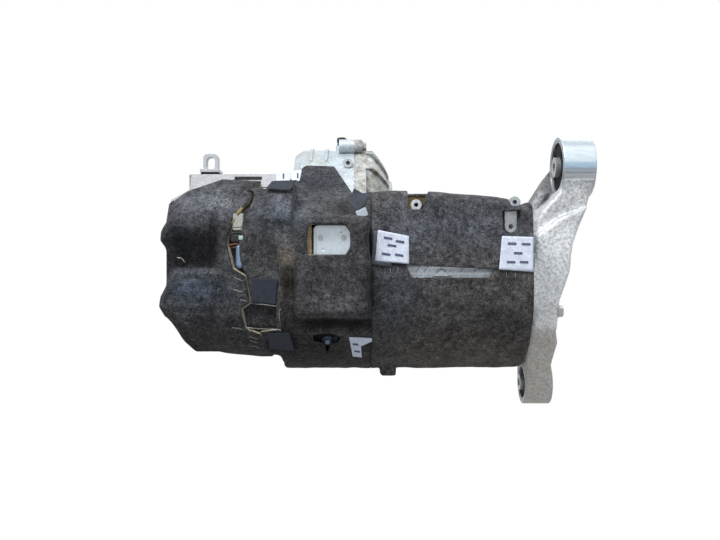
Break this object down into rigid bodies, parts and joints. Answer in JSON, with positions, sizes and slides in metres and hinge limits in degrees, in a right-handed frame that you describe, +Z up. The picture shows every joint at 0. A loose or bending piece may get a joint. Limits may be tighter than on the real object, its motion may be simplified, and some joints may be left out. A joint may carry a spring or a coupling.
{
  "type": "electric drive unit",
  "caption": "Vehicle electric drive unit: motor, reduction gearbox with differential and inverter under felt covers, with a cast mount bracket on rubber bushes.",
  "frame": {"origin": "mouth of the right-hand output socket, on the output axis", "axes": "+X along the motor and output axes towards the mount bracket, +Y away from the felt front, +Z up as pictured"},
  "size_m": [0.673, 0.4319, 0.4448],
  "materials": {
    "cast_aluminium": "sand cast, raw",
    "pressed_aluminium": "sheet, satin",
    "steel": "ground",
    "gear_steel": "case hardened, ground teeth",
    "laminations": "stacked sheets",
    "magnet": "nickel plated",
    "copper": "enamelled copper",
    "cast_iron": "machined iron",
    "black_plastic": "moulded",
    "orange_plastic": "moulded",
    "board": "soldered board",
    "rubber": "moulded",
    "felt": "needled felt over foam",
    "white_fabric": "white hook tape",
    "dark_fabric": "dark loop tape"
  },
  "bodies": {
    "casing": {"motor_housing": "cast_aluminium", "end_shield": "cast_aluminium", "gear_housing": "cast_aluminium", "gear_cover": "cast_aluminium", "stator_core": "laminations", "stator_winding": "copper", "inverter_housing": "cast_aluminium", "inverter_lid": "cast_aluminium", "power_modules": "black_plastic", "dc_capacitor": "black_plastic", "control_board": "board", "phase_busbars": "copper", "terminal_lid": "pressed_aluminium", "mount_bracket": "cast_aluminium", "bracket_bolts": "steel", "upper_bush_shell": "steel", "upper_bush_rubber": "rubber", "upper_bush_sleeve": "steel", "lower_bush_shell": "steel", "lower_bush_rubber": "rubber", "lower_bush_sleeve": "steel", "mount_ear": "pressed_aluminium", "ear_pad": "rubber", "breather": "black_plastic", "speed_sensor": "black_plastic", "coolant_pipe": "pressed_aluminium", "hv_connector": "orange_plastic", "signal_connector": "black_plastic", "oil_pump": "cast_aluminium", "oil_filter": "black_plastic", "oil_cooler": "pressed_aluminium", "case_bolts": "steel", "shield_bolts": "steel", "lid_screws": "steel", "rotor_bearing_outer": "steel", "idler_bearing_outer": "steel", "diff_bearing_outer": "steel", "output_seals": "rubber", "left_felt_cover": "felt", "mid_felt_cover": "felt", "motor_felt_wrap": "felt", "motor_felt_flap": "felt", "white_tabs": "white_fabric", "dark_tabs": "dark_fabric"},
    "rotor": {"rotor_shaft": "steel", "rotor_core": "laminations", "rotor_magnets": "magnet", "rotor_end_plates": "steel", "rotor_bearing_inner": "steel"},
    "idler": {"idler_shaft": "gear_steel", "idler_wheel": "gear_steel", "idler_bearing_inner": "steel"},
    "differential": {"ring_gear": "gear_steel", "diff_carrier": "cast_iron", "spider_pin": "steel", "diff_bearing_inner": "steel"},
    "left_output": {"left_side_gear": "gear_steel"},
    "right_output": {"right_side_gear": "gear_steel"},
    "top_planet": {"planet_top": "gear_steel"},
    "bottom_planet": {"planet_bottom": "gear_steel"}
  },
  "joints": [
    {"name": "rotor_spin", "type": "hinge", "parent": "casing", "child": "rotor", "pos_m": [0.116, -0.14793, -0.13203], "axis": [1, 0, 0], "continuous": true},
    {"name": "idler_spin", "type": "hinge", "parent": "casing", "child": "idler", "pos_m": [-0.064, -0.099, -0.05949], "axis": [1, 0, 0], "continuous": true},
    {"name": "differential_spin", "type": "hinge", "parent": "casing", "child": "differential", "pos_m": [-0.034, 0, 0], "axis": [1, 0, 0], "continuous": true},
    {"name": "left_output_spin", "type": "hinge", "parent": "differential", "child": "left_output", "pos_m": [-0.034, 0, 0], "axis": [1, 0, 0], "continuous": true},
    {"name": "right_output_spin", "type": "hinge", "parent": "differential", "child": "right_output", "pos_m": [-0.034, 0, 0], "axis": [1, 0, 0], "continuous": true},
    {"name": "top_planet_spin", "type": "hinge", "parent": "differential", "child": "top_planet", "pos_m": [-0.034, 0, 0], "axis": [0, 0, 1], "continuous": true},
    {"name": "bottom_planet_spin", "type": "hinge", "parent": "differential", "child": "bottom_planet", "pos_m": [-0.034, 0, 0], "axis": [0, 0, 1], "continuous": true}
  ],
  "couplings": [
    {"joint": "idler_spin", "follows": "rotor_spin", "ratio": -0.34615},
    {"joint": "differential_spin", "follows": "rotor_spin", "ratio": 0.11103},
    {"joint": "left_output_spin", "follows": "right_output_spin", "ratio": -1},
    {"joint": "top_planet_spin", "follows": "right_output_spin", "ratio": -1.6},
    {"joint": "bottom_planet_spin", "follows": "right_output_spin", "ratio": 1.6}
  ]
}
